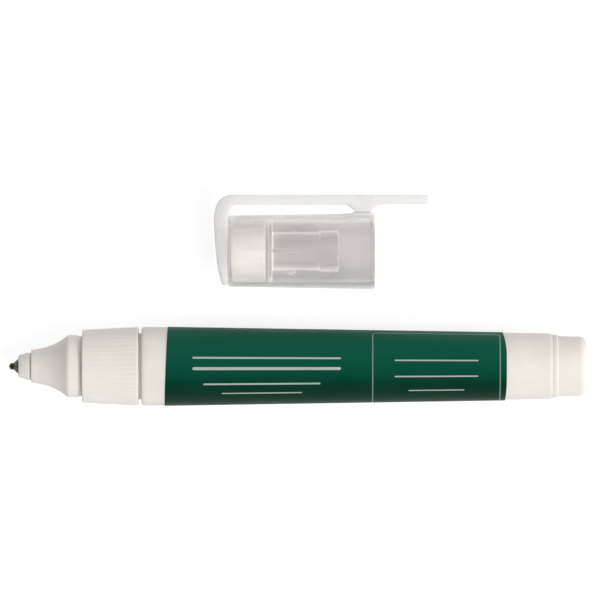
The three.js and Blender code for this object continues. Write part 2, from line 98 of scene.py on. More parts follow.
# %% [markdown]
# ## Turning a piece
#
# Moulded pens are made of round pieces, so one helper does most of the modelling. Its outline is half
# of the piece's section: a few corners, each with a station, a radius and, where it is rounded, the
# size of its fillet. The corners are joined by edges, the fillets are cut by a vertex bevel while the
# outline is still flat, and a full spin about the axis closes the body. A bevel on the flat outline is
# cheaper and cleaner than one on the finished mesh, because it can't run into its neighbours there.

# %% The lathe
fillet_segments = 5
lathe_steps = 144
merge_distance = 0.001 * mm
sharp_angle = math.radians(38)


def wire(bm, origin, outline, closed):
    """Draws an outline as edges. Each corner is a station, a height and, if it is rounded, a fillet."""
    verts = [bm.verts.new((origin.x + c[0] * mm, origin.y + c[1] * mm, origin.z)) for c in outline]
    for a, b in zip(verts, verts[1:]):
        bm.edges.new((a, b))
    if closed:
        bm.edges.new((verts[-1], verts[0]))
    for vert, corner in zip(verts, outline):
        if len(corner) > 2:
            bmesh.ops.bevel(bm, geom=[vert], affect="VERTICES", offset=corner[2] * mm,
                            offset_type="ABSOLUTE", segments=fillet_segments, profile=0.5,
                            clamp_overlap=True, material=-1)


def lathe(origin, outline, steps=lathe_steps):
    """A bmesh of the outline, turned about the axis through origin."""
    bm = bmesh.new()
    starts_on_axis = outline[0][1] == 0
    wire(bm, origin, outline, closed=not starts_on_axis)
    bmesh.ops.spin(bm, geom=bm.verts[:] + bm.edges[:], cent=origin, axis=(1, 0, 0),
                   angle=full_turn, steps=steps, use_merge=True)
    bmesh.ops.remove_doubles(bm, verts=bm.verts[:], dist=merge_distance)
    bmesh.ops.recalc_face_normals(bm, faces=bm.faces[:])
    return bm


def to_piece(bm, name):
    """Makes an object of a bmesh. Its faces shade smoothly, apart from edges past the sharp angle."""
    mesh = bpy.data.meshes.new(name)
    bm.to_mesh(mesh)
    bm.free()
    mesh.shade_smooth()
    mesh.set_sharp_from_angle(angle=sharp_angle)
    piece = bpy.data.objects.new(name, mesh)
    bpy.context.scene.collection.objects.link(piece)
    print(f"{name}: {len(mesh.polygons)} faces")
    return piece


def turned(name, origin, outline, steps=lathe_steps):
    return to_piece(lathe(origin, outline, steps), name)


# %% [markdown]
# ## Effects that several finishes share
#
# Real moulded plastic is never one even value: the mould leaves a fine grain, handling leaves hairline
# marks that run along the pen, and a little dust settles on it. Each effect is a node group with named
# inputs, so that it is built once and gets its own values in each material. The groups put out only
# masks and heights, and the shaders stay in the materials.

# %% Node helpers
def link(tree, source, target):
    tree.links.new(source, target)


def feed(tree, value, socket):
    """Sets a socket to a number or a colour, or links another socket to it."""
    if isinstance(value, (int, float)):
        socket.default_value = value
    elif isinstance(value, tuple):
        socket.default_value = (*value, 1)
    else:
        link(tree, value, socket)


def math_node(tree, operation, *values):
    """The result of a Math node whose inputs are numbers or sockets."""
    node = tree.nodes.new("ShaderNodeMath")
    node.operation = operation
    for value, socket in zip(values, node.inputs):
        feed(tree, value, socket)
    return node.outputs[0]


def map_range(tree, value, from_low, from_high, to_low=0.0, to_high=1.0):
    """A value mapped from one range onto another, and held at the ends of the new one."""
    node = tree.nodes.new("ShaderNodeMapRange")
    for number, socket in zip((value, from_low, from_high, to_low, to_high), node.inputs):
        feed(tree, number, socket)
    return node.outputs["Result"]


def multiply(tree, a, b):
    return math_node(tree, "MULTIPLY", a, b)


def mix(tree, share, a, b, kind="RGBA"):
    """Colour a, with as much of colour b as share says. It mixes values if its kind is FLOAT."""
    node = tree.nodes.new("ShaderNodeMix")
    node.data_type = kind
    for value, socket in zip((share, a, b), [s for s in node.inputs if s.enabled]):
        feed(tree, value, socket)
    return next(s for s in node.outputs if s.enabled)


def noise(tree, vector, scale, detail=2):
    """A Noise texture's value, which stays near 0.5. The scale is a number or a socket."""
    node = tree.nodes.new("ShaderNodeTexNoise")
    node.inputs["Detail"].default_value = detail
    link(tree, vector, node.inputs["Vector"])
    feed(tree, scale, node.inputs["Scale"])
    return node.outputs[0]


def stretched(tree, vector, scale, turn=(0, 0, 0)):
    """Coordinates that are scaled along each axis, and turned by the angles in turn."""
    node = tree.nodes.new("ShaderNodeMapping")
    node.inputs["Scale"].default_value = scale
    node.inputs["Rotation"].default_value = turn
    link(tree, vector, node.inputs["Vector"])
    return node.outputs[0]


def new_group(name, inputs, outputs):
    """A shader node group, and the sockets inside it that its inputs and outputs join."""
    group = bpy.data.node_groups.new(name, "ShaderNodeTree")
    new_socket = group.interface.new_socket
    new_socket(name="Coordinates", in_out="INPUT", socket_type="NodeSocketVector")
    for title, default in inputs.items():
        socket = new_socket(name=title, in_out="INPUT", socket_type="NodeSocketFloat")
        socket.default_value = default
    for title in outputs:
        new_socket(name=title, in_out="OUTPUT", socket_type="NodeSocketFloat")
    print(f"node group {name}: {', '.join(inputs)} -> {', '.join(outputs)}")
    inside = group.nodes.new("NodeGroupInput").outputs
    return group, inside, group.nodes.new("NodeGroupOutput").inputs


# %% Mould grain
grain, grain_in, grain_out = new_group(
    "mould grain", {"Scale": 2500.0, "Mottle Scale": 90.0}, ("Height", "Mottle"))
fine = noise(grain, grain_in["Coordinates"], grain_in["Scale"], detail=3)
coarse = noise(grain, grain_in["Coordinates"], grain_in["Mottle Scale"])
link(grain, fine, grain_out["Height"])
link(grain, coarse, grain_out["Mottle"])

# %% Hairline marks from handling
marks_stretch = (0.035, 1, 1)
marks_slant = (0, 0.03, 0.09)
patch_scale = 120
marks, marks_in, marks_out = new_group(
    "hairline marks", {"Scale": 900.0, "Amount": 0.35}, ("Mask",))
lengthwise = stretched(marks, marks_in["Coordinates"], marks_stretch, marks_slant)
thin = map_range(marks, noise(marks, lengthwise, marks_in["Scale"]), 0.66, 0.74)
where = map_range(marks, noise(marks, marks_in["Coordinates"], patch_scale), 0.45, 0.65)
in_patches = multiply(marks, thin, where)
link(marks, multiply(marks, in_patches, marks_in["Amount"]), marks_out["Mask"])

# %% Specks of dust
clean_share = 0.9
dust, dust_in, dust_out = new_group("dust specks", {"Scale": 420.0, "Size": 0.1}, ("Mask",))
cells = dust.nodes.new("ShaderNodeTexVoronoi")
link(dust, dust_in["Coordinates"], cells.inputs["Vector"])
link(dust, dust_in["Scale"], cells.inputs["Scale"])
chosen = dust.nodes.new("ShaderNodeSeparateColor")
link(dust, cells.outputs["Color"], chosen.inputs[0])
rare = math_node(dust, "GREATER_THAN", chosen.outputs[0], clean_share)
near = math_node(dust, "LESS_THAN", cells.outputs["Distance"], dust_in["Size"])
link(dust, multiply(dust, rare, near), dust_out["Mask"])

# %% [markdown]
# ## Finishes
#
# A finish is one Principled shader. Its plain numbers stay on the shader's own sockets, and only what
# changes over the surface, such as colour, roughness and the bump's height, comes from nodes. Patterns
# read Object coordinates, so they stay on a piece when its body moves. The white plastics let a little
# light in under their surface, which keeps their shaded sides warm and soft.

# %% A finish with the shared effects
def new_material(name):
    """A new material, its tree, its Principled shader and the Object coordinates."""
    material = bpy.data.materials.new(name)
    material.use_nodes = True
    tree = material.node_tree
    coordinates = tree.nodes.new("ShaderNodeTexCoord").outputs["Object"]
    print("material", name)
    return material, tree, tree.nodes["Principled BSDF"], coordinates


def use_group(tree, group, coordinates, **values):
    """A group's outputs. Each of the values goes to the input of that name."""
    node = tree.nodes.new("ShaderNodeGroup")
    node.node_tree = group
    link(tree, coordinates, node.inputs["Coordinates"])
    for name, value in values.items():
        feed(tree, value, node.inputs[name.replace("_", " ")])
    return node.outputs


def mottled(tree, grainy, color, shade):
    """The colour, multiplied by shade where the mottle is low."""
    darker = tuple(v * shade for v in color)
    return mix(tree, map_range(tree, grainy["Mottle"], 0.35, 0.65), darker, color)


def worn_roughness(tree, grainy, lowest, highest, marked, change):
    """A roughness that follows the mottle, and that a hairline mark changes."""
    rough = map_range(tree, grainy["Mottle"], 0.3, 0.7, lowest, highest)
    return math_node(tree, "ADD", rough, multiply(tree, marked["Mask"], change))


def set_surface(tree, shader, color, rough, height, depth):
    """Links a colour, a roughness and a bump, whose depth is in millimetres."""
    link(tree, color, shader.inputs["Base Color"])
    link(tree, rough, shader.inputs["Roughness"])
    bump = tree.nodes.new("ShaderNodeBump")
    bump.inputs["Distance"].default_value = depth * mm
    link(tree, height, bump.inputs["Height"])
    link(tree, bump.outputs[0], shader.inputs["Normal"])


# %% Moulded plastics
dust_color, dust_cover = (0.45, 0.42, 0.38), 0.12
plastic_grain = 0.01


def plastic(name, color, roughness, **sockets):
    """A moulded plastic with polished hairlines. Its other sockets are given by name."""
    material, tree, shader, coordinates = new_material(name)
    grainy = use_group(tree, grain, coordinates)
    marked = use_group(tree, marks, coordinates, Amount=0.3)
    dusty = use_group(tree, dust, coordinates)
    speck = multiply(tree, dusty["Mask"], dust_cover)
    base = mix(tree, speck, mottled(tree, grainy, color, shade=0.94), dust_color)
    rough = worn_roughness(tree, grainy, roughness - 0.05, roughness + 0.05, marked, change=-0.3)
    height = math_node(tree, "SUBTRACT", grainy["Height"], marked["Mask"])
    set_surface(tree, shader, base, rough, height, plastic_grain)
    for socket, value in sockets.items():
        shader.inputs[socket.replace("_", " ")].default_value = value
    return material


soft_glow = dict(Subsurface_Weight=0.3, Subsurface_Radius=(1, 0.85, 0.7),
                 Subsurface_Scale=1.2 * mm)
deep_glow = dict(Subsurface_Weight=0.7, Subsurface_Radius=(1, 0.95, 0.9),
                 Subsurface_Scale=3 * mm)
white_plastic = plastic("white plastic", (0.87, 0.82, 0.765), 0.42,
                        Specular_IOR_Level=0.3, **soft_glow)
# The collar's plastic is lighter than the white plastic: painted light that makes up for the shade
# between its ribs.
collar_plastic = plastic("collar plastic", (0.93, 0.88, 0.825), 0.42,
                         Specular_IOR_Level=0.3, **soft_glow)
# The nozzle's plastic is lighter than the barrel's white plastic: painted light that lifts its shading.
nozzle_plastic = plastic("nozzle plastic", (0.91, 0.86, 0.805), 0.36,
                         Specular_IOR_Level=0.35, **soft_glow)
seal_plastic = plastic("seal plastic", (0.72, 0.73, 0.70), 0.55)
milky_plastic = plastic("milky plastic", (0.87, 0.85, 0.83), 0.3, **deep_glow)

# %% [markdown]
# ## Barrel
#
# The barrel is a squeezable tube, blown in one piece with its neck. It tapers towards the tail, its
# front shoulder has a small round and its rear edge a longer one. Its neck carries the thread for the
# collar, which comes into view when the collar is turned off. A cone would give only the taper. The
# outline of its section gives the neck, the rounds and the bore in the same spin.

# %% Barrel and neck
neck_bore, neck_radius, neck_base_radius = 5.5, 6.7, 7.6
neck_base_length, inner_shoulder = 1.9, 2.4
barrel_wall, barrel_taper = 1.1, 1.5
collar_gap, edge_drop, rear_round = 0.7, 0.34, 1.9
neck_front, barrel_rear = ends("barrel", pen)
collar_front, collar_rear = ends("ribbed_collar", pen)
shoulder = collar_rear + collar_gap
neck_base = shoulder - neck_base_length
barrel_radius = widest("barrel")
barrel_length = barrel_rear - shoulder


def barrel_at(station):
    """The barrel's radius at a station."""
    return barrel_radius - barrel_taper * (station - shoulder) / barrel_length


rear_radius = barrel_at(barrel_rear)
barrel = turned("barrel_tube", pen, [
    (neck_front, neck_bore, 0.2), (neck_front, neck_radius, 0.3),
    (neck_base, neck_radius, 0.15), (neck_base, neck_base_radius, 0.2),
    (shoulder, neck_base_radius, 0.15), (shoulder, barrel_radius - edge_drop, 0.25),
    (shoulder + 0.35, barrel_radius - 0.12, 0.2),
    (shoulder + 0.8, barrel_radius - 0.03),
    (shoulder + 1.5, barrel_at(shoulder + 1.5)),
    (barrel_rear - rear_round, rear_radius, 1.0),
    (barrel_rear - 0.45, rear_radius - 0.08, 0.4),
    (barrel_rear, rear_radius - edge_drop), (barrel_rear, rear_radius - barrel_wall, 0.1),
    (shoulder + inner_shoulder, barrel_radius - barrel_wall, 1.0),
    (shoulder, neck_bore, 0.8),
])

# %% [markdown]
# ## Threads
#
# A thread is one spin that moves along the axis as it turns. The spin's dvec does that, and it counts
# per step. A Screw modifier could do the same, but it can't let the ridge sink. Moulded threads run out
# gently at both ends, so the crest sinks towards the root over the first and last sixth of a turn.

# %% Thread ridges
thread_pitch, thread_depth = 2.5, 0.55
thread_root_width, thread_crest_width, thread_sink = 1.2, 0.7, 0.15
thread_lead, neck_turns, collar_turns = 1.3, 2.25, 1.75
collar_bore, collar_crest = 7.45, neck_radius + 0.2
thread_steps = 72
run_out = thread_steps / 6
least_share = 0.1


def wind(bm, turns, pitch, steps):
    """Spins a flat section round the pen's axis and along it. The steps are those of one turn."""
    bmesh.ops.spin(bm, geom=bm.verts[:] + bm.edges[:], cent=pen, axis=(1, 0, 0),
                   angle=turns * full_turn, dvec=(pitch / steps * mm, 0, 0), steps=round(turns * steps))


def close_ends(bm, sides):
    """Fills the two ends of a wound section and turns its faces outwards."""
    bmesh.ops.holes_fill(bm, edges=[e for e in bm.edges if e.is_boundary], sides=sides)
    bmesh.ops.recalc_face_normals(bm, faces=bm.faces[:])


def off_axis(vert):
    """The vector from the pen's axis out to a vertex."""
    return Vector((0, vert.co.y - pen.y, vert.co.z - pen.z))


def thread(name, start, turns, root, crest):
    """A ridge that winds round the pen's axis from a station on."""
    bm = bmesh.new()
    section = [(start - thread_root_width / 2, root), (start - thread_crest_width / 2, crest),
               (start + thread_crest_width / 2, crest), (start + thread_root_width / 2, root)]
    wire(bm, pen, section, closed=True)
    wind(bm, turns, thread_pitch, thread_steps)
    last_ring = round(turns * thread_steps)
    for i, vert in enumerate(bm.verts):
        ring, corner = divmod(i, len(section))
        if section[corner][1] == crest:
            share = min(1, max(least_share, min(ring, last_ring - ring) / run_out))
            vert.co -= off_axis(vert).normalized() * (crest - root) * (1 - share) * mm
    close_ends(bm, len(section))
    return to_piece(bm, name)


neck_thread = thread("neck_thread", neck_front + thread_lead, neck_turns,
                     neck_radius - thread_sink, neck_radius + thread_depth)

# %% [markdown]
# ## Ribbed collar
#
# The collar is a screw ring with 48 low lengthwise ribs and a smooth band at its rear edge. The ribs
# are too regular for a noise bump and too shallow for separate pieces, so the turned mesh gets eight
# steps for each rib, and its outer vertices are drawn in where the grooves run.

# %% Collar
rib_count, rib_steps, groove_depth = 48, 8, 0.08
collar_rear_radius = widest("ribbed_collar")
collar_flare, collar_crown = 0.66, 0.05
collar_rear_bore, lip_bore, lip_length = 7.8, 7.0, 1.4
lip_rear = collar_front + lip_length
bore_step = neck_base - 0.2
groove_front, groove_rear = collar_front + 0.25, collar_rear - 0.5
groove_middle = (groove_front + groove_rear) / 2
skin = 0.1


def collar_at(station):
    return collar_rear_radius - collar_flare * (collar_rear - station) / (collar_rear - collar_front)


collar_mesh = lathe(pen, [
    (collar_front, lip_bore, 0.1), (collar_front, collar_at(collar_front) - 0.06, 0.3),
    (groove_front + 0.05, collar_at(groove_front) - 0.02),
    (groove_front + 0.5, collar_at(groove_front + 0.5)),
    (groove_middle, collar_at(groove_middle) + collar_crown),
    (groove_rear - 0.25, collar_at(groove_rear - 0.25)),
    (groove_rear, collar_at(groove_rear)),
    (collar_rear, collar_rear_radius, 0.18), (collar_rear, collar_rear_bore, 0.1),
    (bore_step, collar_rear_bore), (bore_step, collar_bore),
    (lip_rear, collar_bore), (lip_rear, lip_bore),
], steps=rib_count * rib_steps)
for vert in collar_mesh.verts:
    station = (vert.co.x - pen.x) / mm
    across = off_axis(vert)
    is_outer = across.length / mm > collar_at(station) - skin
    if is_outer and groove_front < station < groove_rear - 0.01:
        rib_turn = math.atan2(across.z, across.y) / full_turn * rib_count
        valley = 0.5 - 0.5 * math.cos(full_turn * rib_turn)
        vert.co -= across.normalized() * groove_depth * valley ** 2 * mm
collar = to_piece(collar_mesh, "screw_collar")
collar_thread = thread("collar_thread", neck_front + thread_lead + thread_pitch / 2, collar_turns,
                       collar_bore + thread_sink, collar_crest)

# %% [markdown]
# ## Nozzle, tip holder and metal tip
#
# The nozzle's cone leaves its front face almost straight and then flares out to the snap band, which
# holds the cap. Two arcs could be fitted to it, but one cubic curve with a slope at each end is
# simpler. The holder in front of it grips the turned metal tip, and the needle's end stands out of
# that by a third of a millimetre.

# %% Nozzle
nozzle_front, nozzle_rear = ends("nozzle", pen)
fit_gap = 0.05
holder_shank, holder_rear_radius, holder_front_radius = 2.87, 3.22, 2.5
holder_front, holder_rear = 2.15, 4.55
cone_radius, cone_end, snap_radius, shank_radius = 3.8, 13.45, 7.19, 6.9
cone_slope, flare_slope = math.radians(5), math.radians(35)
cone_reach, flare_reach = 5, 1.25
band_front, band_rear = cone_end + 0.35, cone_end + 2.55
barb_front, barb_rear, barb_radius = lip_rear + 0.2, lip_rear + 1.2, 7.35
skirt_radius, skirt_wall = 5.4, 0.9
socket_length, bore_length = 4.3, 7.1


def cone_curve(count=22):
    """Corners of the cone's side, from its front face to the snap band."""
    start = Vector((nozzle_front, cone_radius))
    end = Vector((cone_end, snap_radius - 0.17))
    leave = start + cone_reach * Vector((math.cos(cone_slope), math.sin(cone_slope)))
    arrive = end - flare_reach * Vector((math.cos(flare_slope), math.sin(flare_slope)))
    return [(p.x, p.y) for p in interpolate_bezier(start, leave, arrive, end, count)]


nozzle = turned("nozzle_cone", pen, [
    (nozzle_front, holder_shank + fit_gap, 0.1), (nozzle_front, cone_radius, 0.15),
    *cone_curve()[1:],
    (band_front, snap_radius, 0.3),
    (band_rear, snap_radius - 0.1, 0.2), (band_rear, shank_radius, 0.1),
    (barb_front, shank_radius), (barb_front, barb_radius, 0.1),
    (barb_rear, barb_radius, 0.1), (barb_rear, skirt_radius),
    (nozzle_rear, skirt_radius, 0.2), (nozzle_rear, skirt_radius - skirt_wall, 0.2),
    (nozzle_front + bore_length, skirt_radius - skirt_wall, 0.5),
    (nozzle_front + socket_length, holder_shank + fit_gap),
])

# %% Tip holder, metal tip and needle
tip_front = ends("metal_tip", pen)[0]
shank_rear = ends("tip_holder", pen)[1]
tip_face, tip_shoulder = tip_front - 0.08, holder_front - 0.45
tip_radius, tip_mouth, tip_bore = 1.72, 0.43, 0.92
flange_front, flange_rear, flange_radius = holder_front + 3.2, holder_front + 4.0, 2.02
guide_radius, guide_seat = 2.32, shank_rear - 1.85
neck_groove, neck_groove_rear = holder_shank + 0.25, nozzle_front - 0.06
pin_point, pin_body, pin_tail, pin_flange = 0.38, 0.8, 0.6, 1.45
pin_flange_front, pin_flange_rear = holder_front + 4.3, holder_front + 5.1
pin_rear = shank_rear + 1
holder = turned("tip_holder_sleeve", pen, [
    (holder_front + fit_gap, tip_radius + fit_gap, 0.08),
    (holder_front + fit_gap, holder_front_radius, 0.35),
    (holder_rear, holder_rear_radius, 0.12), (holder_rear, neck_groove, 0.05),
    (neck_groove_rear, neck_groove, 0.05), (neck_groove_rear, holder_shank, 0.05),
    (shank_rear, holder_shank, 0.2), (shank_rear, guide_radius + fit_gap, 0.1),
    (guide_seat, guide_radius + fit_gap), (guide_seat, flange_radius + fit_gap),
    (flange_front - fit_gap, flange_radius + fit_gap),
    (flange_front - fit_gap, tip_radius + fit_gap),
], steps=96)
metal_tip = turned("writing_tip", pen, [
    (tip_face, tip_mouth, 0.03), (tip_face, 0.74, 0.08),
    (tip_front + 0.8, 0.8, 0.12),
    (tip_shoulder, 1.42, 0.25),
    (holder_front, tip_radius, 0.04),
    (flange_front, tip_radius), (flange_front, flange_radius, 0.08),
    (flange_rear, flange_radius, 0.08), (flange_rear, tip_bore, 0.06),
    (holder_front + fit_gap, tip_bore),
    (tip_shoulder, tip_mouth),
], steps=72)
needle = turned("valve_pin", pen, [
    (0, 0), (0, pin_point, 0.12),
    (holder_front - 0.5, pin_point),
    (holder_front, pin_body),
    (pin_flange_front, pin_body), (pin_flange_front, pin_flange, 0.1),
    (pin_flange_rear, pin_flange, 0.1), (pin_flange_rear, pin_tail),
    (pin_rear, pin_tail, 0.3), (pin_rear, 0),
], steps=48)

# %% [markdown]
# ## Tail plug
#
# The barrel is filled from its rear and closed by a plug with a thin band, a straight skirt and a well
# rounded end. Its outline starts and ends on the axis, so the spin closes it without a cap of its own.

# %% Tail plug
tail_front, tail_face = ends("tail_plug", pen)
tail_radius, end_round, end_wall = 6.96, 1.7, 1.2
band_step, band_end = 0.3, barrel_rear + 0.95
barrel_lip = barrel_rear + 0.01


def plug_shank(station):
    """The plug's radius inside the barrel at a station."""
    return barrel_at(station) - barrel_wall - fit_gap


plug = turned("tail_stopper", pen, [
    (tail_face, 0), (tail_face, tail_radius - 0.1, end_round),
    (band_end + 0.2, tail_radius, 0.15),
    (band_end, tail_radius + band_step, 0.12),
    (barrel_lip, tail_radius + band_step), (barrel_lip, plug_shank(barrel_rear)),
    (tail_front, plug_shank(tail_front), 0.3),
    (tail_front, plug_shank(tail_front) - 1.2, 0.2),
    (tail_face - end_wall, tail_radius - 1.3, 0.6), (tail_face - end_wall, 0),
])

# %% [markdown]
# ## Printed label
#
# The label is a film wrapped round the barrel. It isn't wrapped quite true: its front edge slants, its
# rear edge draws forward at both sides, and its ends meet on the underside. A flat sheet could be
# bent round the barrel, but the film is turned like the other pieces, which keeps it on the taper, and
# then the vertices of its two edges are moved along the barrel.

# %% Label film
label_front, label_rear = ends("label", pen)
label_gap, label_thickness = 0.02, 0.1
front_slant, far_curl, near_curl = 0.36, 1.9, 0.85


def along_edge(angle, rear):
    """How far an edge of the film strays along the pen, in millimetres.

    The angle is 0 on top of the barrel and positive towards +Y.
    """
    if rear:
        far = max(0.0, math.sin(angle) - 0.35)
        near_side = max(0.0, -math.sin(angle) - 0.45)
        return -far_curl * far ** 2 - near_curl * near_side ** 2
    return front_slant * math.sin(angle)


def film_at(station):
    return barrel_at(station) + label_gap


label_mesh = lathe(pen, [
    (label_front, film_at(label_front)),
    (label_front, film_at(label_front) + label_thickness),
    (label_rear, film_at(label_rear) + label_thickness),
    (label_rear, film_at(label_rear)),
])
for vert in label_mesh.verts:
    station = (vert.co.x - pen.x) / mm
    across = off_axis(vert)
    at_rear = station > (label_front + label_rear) / 2
    shift = along_edge(math.atan2(across.y, across.z), at_rear)
    vert.co.x += shift * mm
    vert.co -= across.normalized() * shift * barrel_taper / barrel_length * mm
label = to_piece(label_mesh, "label_film")

# %% [markdown]
# ## Cap
#
# The cap is a clear shell with a closed end, and with a low land under the clip's pad. Inside it are
# two milky pieces: a plug that fills the closed end, and a sleeve with four fins whose socket seals
# the nozzle. A single surface would look like a soap film, so the shell has a real wall, and light
# bends at both of its faces.

# %% Clear shell
cap_length = ends("cap_shell", cap)[1]
cap_low, cap_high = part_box("cap_shell")
cap_mouth_radius = (cap_high.z - cap_low.z) / 2 / mm
cap_bore, cap_end_radius, cap_end_wall = 7.3, 8.22, 0.5
bead_radius = snap_radius - 0.05
shell = turned("cap_shell_clear", cap, [
    (0, 0), (0, cap_end_radius, 0.6),
    (cap_length, cap_mouth_radius, 0.35), (cap_length, cap_bore + 0.1, 0.2),
    (cap_length - 0.3, bead_radius, 0.12),
    (cap_length - 0.8, bead_radius, 0.12),
    (cap_length - 1.0, cap_bore + 0.05, 0.1),
    (cap_end_wall, cap_bore, 1.0), (cap_end_wall, 0),
])


# %% Land under the clip's pad
def slab(low_z, outline, thickness):
    """A bmesh of a piece's side view on the cap's axis, filled and then raised from low_z."""
    bm = bmesh.new()
    wire(bm, Vector((cap.x, cap.y, low_z)), outline, closed=True)
    side = bmesh.ops.contextual_create(bm, geom=bm.edges[:])["faces"]
    raised = bmesh.ops.extrude_face_region(bm, geom=side, use_keep_orig=True)["geom"]
    bmesh.ops.translate(bm, verts=[v for v in raised if isinstance(v, bmesh.types.BMVert)],
                        vec=(0, 0, thickness * mm))
    bmesh.ops.recalc_face_normals(bm, faces=bm.faces[:])
    return bm


def soften(bm, edges, radius, segments):
    """Rounds some edges of a solid, as a mould does."""
    bmesh.ops.bevel(bm, geom=edges, affect="EDGES", offset=radius * mm, segments=segments,
                    profile=0.5, clamp_overlap=True, material=-1)


land_front, land_rear, land_width, land_top, land_depth = 28.6, 33.4, 5.0, 8.96, 0.9
land_foot = land_top - land_depth
land_mesh = slab(cap.z - land_width / 2 * mm, [
    (land_front, land_foot), (land_rear, land_foot), (land_rear, land_top), (land_front, land_top),
], land_width)
soften(land_mesh, land_mesh.edges[:], 0.3, 3)
land = to_piece(land_mesh, "cap_pad_land")

# %% End plug and inner sleeve
plug_front, plug_rear = ends("cap_end_plug", cap)
plug_radius, plug_wall = widest("cap_end_plug"), 1.3
end_plug = turned("cap_end_block", cap, [
    (plug_front, 0), (plug_front, plug_radius, 0.7),
    (plug_rear, plug_radius, 0.6), (plug_rear, plug_radius - plug_wall, 0.2),
    (plug_front + plug_wall, plug_radius - plug_wall, 0.5), (plug_front + plug_wall, 0),
])
disc_front, sleeve_end = ends("cap_inner_sleeve", cap)
disc_rear = disc_front + 0.9
sleeve_bore = holder_rear_radius + 0.3
sleeve_outer = sleeve_bore + 0.87
socket_front = nozzle_front - collar_front + cap_length - 0.2
socket_mouth, ring_wall = 4.24, 0.5
ring_front = socket_front - 0.9
sleeve = turned("cap_socket_sleeve", cap, [
    (disc_front, 0), (disc_front, plug_radius, 0.2),
    (disc_rear, plug_radius, 0.2), (disc_rear, sleeve_outer, 0.4),
    (ring_front, sleeve_outer, 0.15),
    (ring_front + 0.3, socket_mouth + ring_wall, 0.2),
    (sleeve_end, socket_mouth + ring_wall, 0.25), (sleeve_end, socket_mouth, 0.1),
    (socket_front, cone_radius + 0.12), (socket_front, sleeve_bore),
    (disc_rear, sleeve_bore, 0.3), (disc_rear, 0),
], steps=96)

# %% Fins of the sleeve
fin_length, fin_top, fin_height, fin_toe, fin_thickness = 5.5, 3.85, 1.5, 0.5, 0.8
fin_start, fin_root = disc_rear - 0.45, sleeve_outer - 0.4
fins_mesh = slab(cap.z - fin_thickness / 2 * mm, [
    (fin_start, fin_root),
    (disc_rear + fin_length, fin_root), (disc_rear + fin_length, sleeve_outer + fin_toe),
    (disc_rear + fin_top, sleeve_outer + fin_height),
    (fin_start, sleeve_outer + fin_height),
], fin_thickness)
soften(fins_mesh, fins_mesh.edges[:], 0.12, 2)
bmesh.ops.spin(fins_mesh, geom=fins_mesh.verts[:] + fins_mesh.edges[:] + fins_mesh.faces[:],
               cent=cap, axis=(1, 0, 0), angle=0.75 * full_turn, steps=3, use_duplicate=True)
fins = to_piece(fins_mesh, "cap_sleeve_fins")

# %% [markdown]
# ## Clip
#
# The clip is one moulding: a leg up the cap's closed end, an arm along the cap and a pad near its
# mouth. Joined boxes would need their seams hidden. Here its side view is drawn as a wire of a few
# corners, filled and extruded to the clip's width, and its rims are bevelled, which is how a
# moulding's soft edges catch the light.

# %% Clip
clip_low, clip_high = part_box("cap_clip")
clip_width = (clip_high.z - clip_low.z) / mm
clip_top = (clip_high.y - cap.y) / mm
clip_foot = (clip_low.y - cap.y) / mm
clip_back = (clip_low.x - cap.x) / mm
clip_reach = (clip_high.x - cap.x) / mm
clip_arm = 2.2
arm_under = clip_top - clip_arm
leg_face, leg_inner, foot_thickness = -0.03, 0.8, 1.12
pad_foot = land_top + 0.03
pad_end, pad_length, pad_slope = cap_length - 1.0, 3.4, 2.0
corner_height, corner_reach = 5.9, 4.25


def quadratic(start, control, end, count=12):
    """Corners on a quadratic curve, by the cubic that is the same curve."""
    start, control, end = Vector(start), Vector(control), Vector(end)
    points = interpolate_bezier(start, start.lerp(control, 2 / 3), end.lerp(control, 2 / 3), end, count)
    return [(p.x, p.y) for p in points]


corner_foot = (clip_back, clip_top - corner_height)
corner_end = (clip_back + corner_reach, clip_top)
leg_foot = (leg_face - foot_thickness, clip_foot)
clip_mesh = slab(clip_low.z, [
    (leg_face, clip_foot, 0.3),
    *quadratic(leg_foot, (clip_back + 0.3, clip_foot / 2), corner_foot),
    *quadratic(corner_foot, (clip_back, clip_top), corner_end)[1:],
    (clip_reach, clip_top, 0.35), (clip_reach, arm_under + 0.15, 0.5),
    (pad_end + pad_slope, arm_under, 0.5),
    (pad_end, pad_foot, 0.3),
    (pad_end - pad_length, pad_foot, 0.3),
    (pad_end - pad_length - pad_slope, arm_under, 0.5),
    (leg_inner, arm_under, 1.3), (leg_inner, cap_end_radius + 0.45, 0.35),
    (leg_face, cap_end_radius - 0.3, 0.3),
], clip_width)
rims = [e for e in clip_mesh.edges if abs(e.verts[0].co.z - e.verts[1].co.z) < 0.01 * mm]
soften(clip_mesh, rims, 0.25, 3)
clip = to_piece(clip_mesh, "pocket_clip")

# %% [markdown]
# ## Small pieces inside
#
# The spring, its guide, the neck's seal and the mixing ball are out of sight, but they are real pieces
# with joints of their own, so they are modelled like the rest. The spring is a circle that is spun
# about the axis and moved along it, as the thread is.

# %% Spring
wire_radius, wire_segments, coil_radius = 0.17, 10, 1.17
spring_turns, spring_steps = 9, 32
spring_front, spring_rear = ends("valve_spring", pen)
spring_pitch = (spring_rear - spring_front - 2 * wire_radius) / spring_turns
spring_mesh = bmesh.new()
circle = bmesh.ops.create_circle(spring_mesh, segments=wire_segments, radius=wire_radius * mm)["verts"]
coil_start = Vector((pen.x + (spring_front + wire_radius) * mm, pen.y + coil_radius * mm, pen.z))
bmesh.ops.translate(spring_mesh, verts=circle, vec=coil_start)
wind(spring_mesh, spring_turns, spring_pitch, spring_steps)
close_ends(spring_mesh, wire_segments)
spring = to_piece(spring_mesh, "spring_coil")

# %% Guide, seal and ball
guide_bore, seal_radius = 0.7, neck_radius - 0.1


def flat_ring(name, node, bore, radius, steps):
    """A turned ring as long as its node, with softened edges."""
    front, rear = ends(node, pen)
    return turned(name, pen, [
        (front, bore, 0.1),
        (front, radius, 0.15),
        (rear, radius, 0.15),
        (rear, bore, 0.1),
    ], steps)


